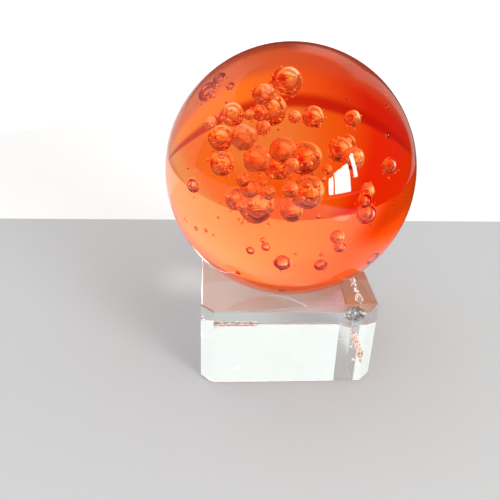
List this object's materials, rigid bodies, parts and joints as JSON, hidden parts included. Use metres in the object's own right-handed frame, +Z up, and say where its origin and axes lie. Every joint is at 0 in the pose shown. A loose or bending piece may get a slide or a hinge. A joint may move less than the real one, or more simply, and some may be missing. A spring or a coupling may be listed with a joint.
{
  "type": "glass ball",
  "caption": "Solid orange glass ball with sealed air bubbles, resting in the round hollow of a clear square glass block with cut corners.",
  "frame": {"origin": "middle of the block's underside, where the piece stands on a table", "axes": "+Z up through the middle of the block and the ball; -Y is the front of the block, +X is to its right"},
  "size_m": [0.07, 0.07, 0.091],
  "materials": {
    "orange_glass": "polished transparent orange glass with sealed air bubbles",
    "clear_glass": "polished clear glass with fine chips along the edges"
  },
  "bodies": {
    "root": {"ball": "orange_glass", "stand": "clear_glass"}
  },
  "joints": []
}
